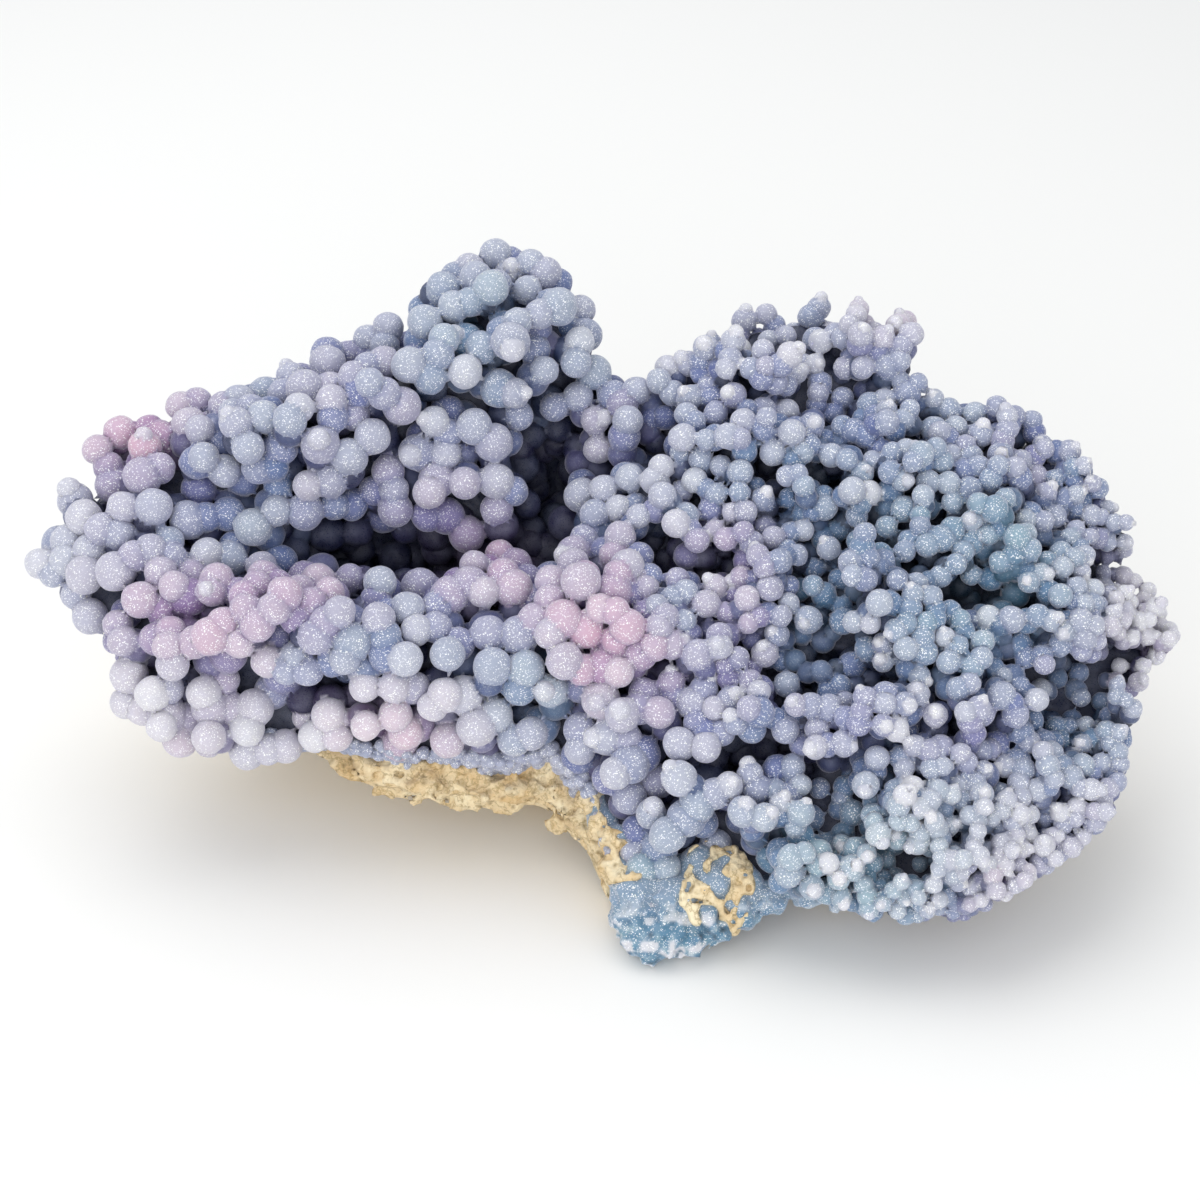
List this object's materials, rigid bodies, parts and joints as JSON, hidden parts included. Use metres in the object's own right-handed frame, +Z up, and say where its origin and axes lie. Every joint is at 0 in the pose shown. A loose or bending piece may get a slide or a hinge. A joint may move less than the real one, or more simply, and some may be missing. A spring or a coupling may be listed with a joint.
{
  "type": "grape agate specimen",
  "caption": "Mineral specimen: a tilted plate of round berry-like chalcedony bunches in two lobes, grown over tan host rock and standing on a flat spot.",
  "frame": {"origin": "middle of the specimen's footprint, on the surface it rests on", "axes": "+Z up, -Y out of the front face that the picture shows, +X to the viewer's right along the specimen's length"},
  "size_m": [0.1506, 0.077, 0.0651],
  "materials": {
    "chalcedony": "sugary satin, translucent",
    "host_rock": "rough, porous, matte"
  },
  "bodies": {
    "root": {"agate_berries": "chalcedony", "host_rock": "host_rock"}
  },
  "joints": []
}
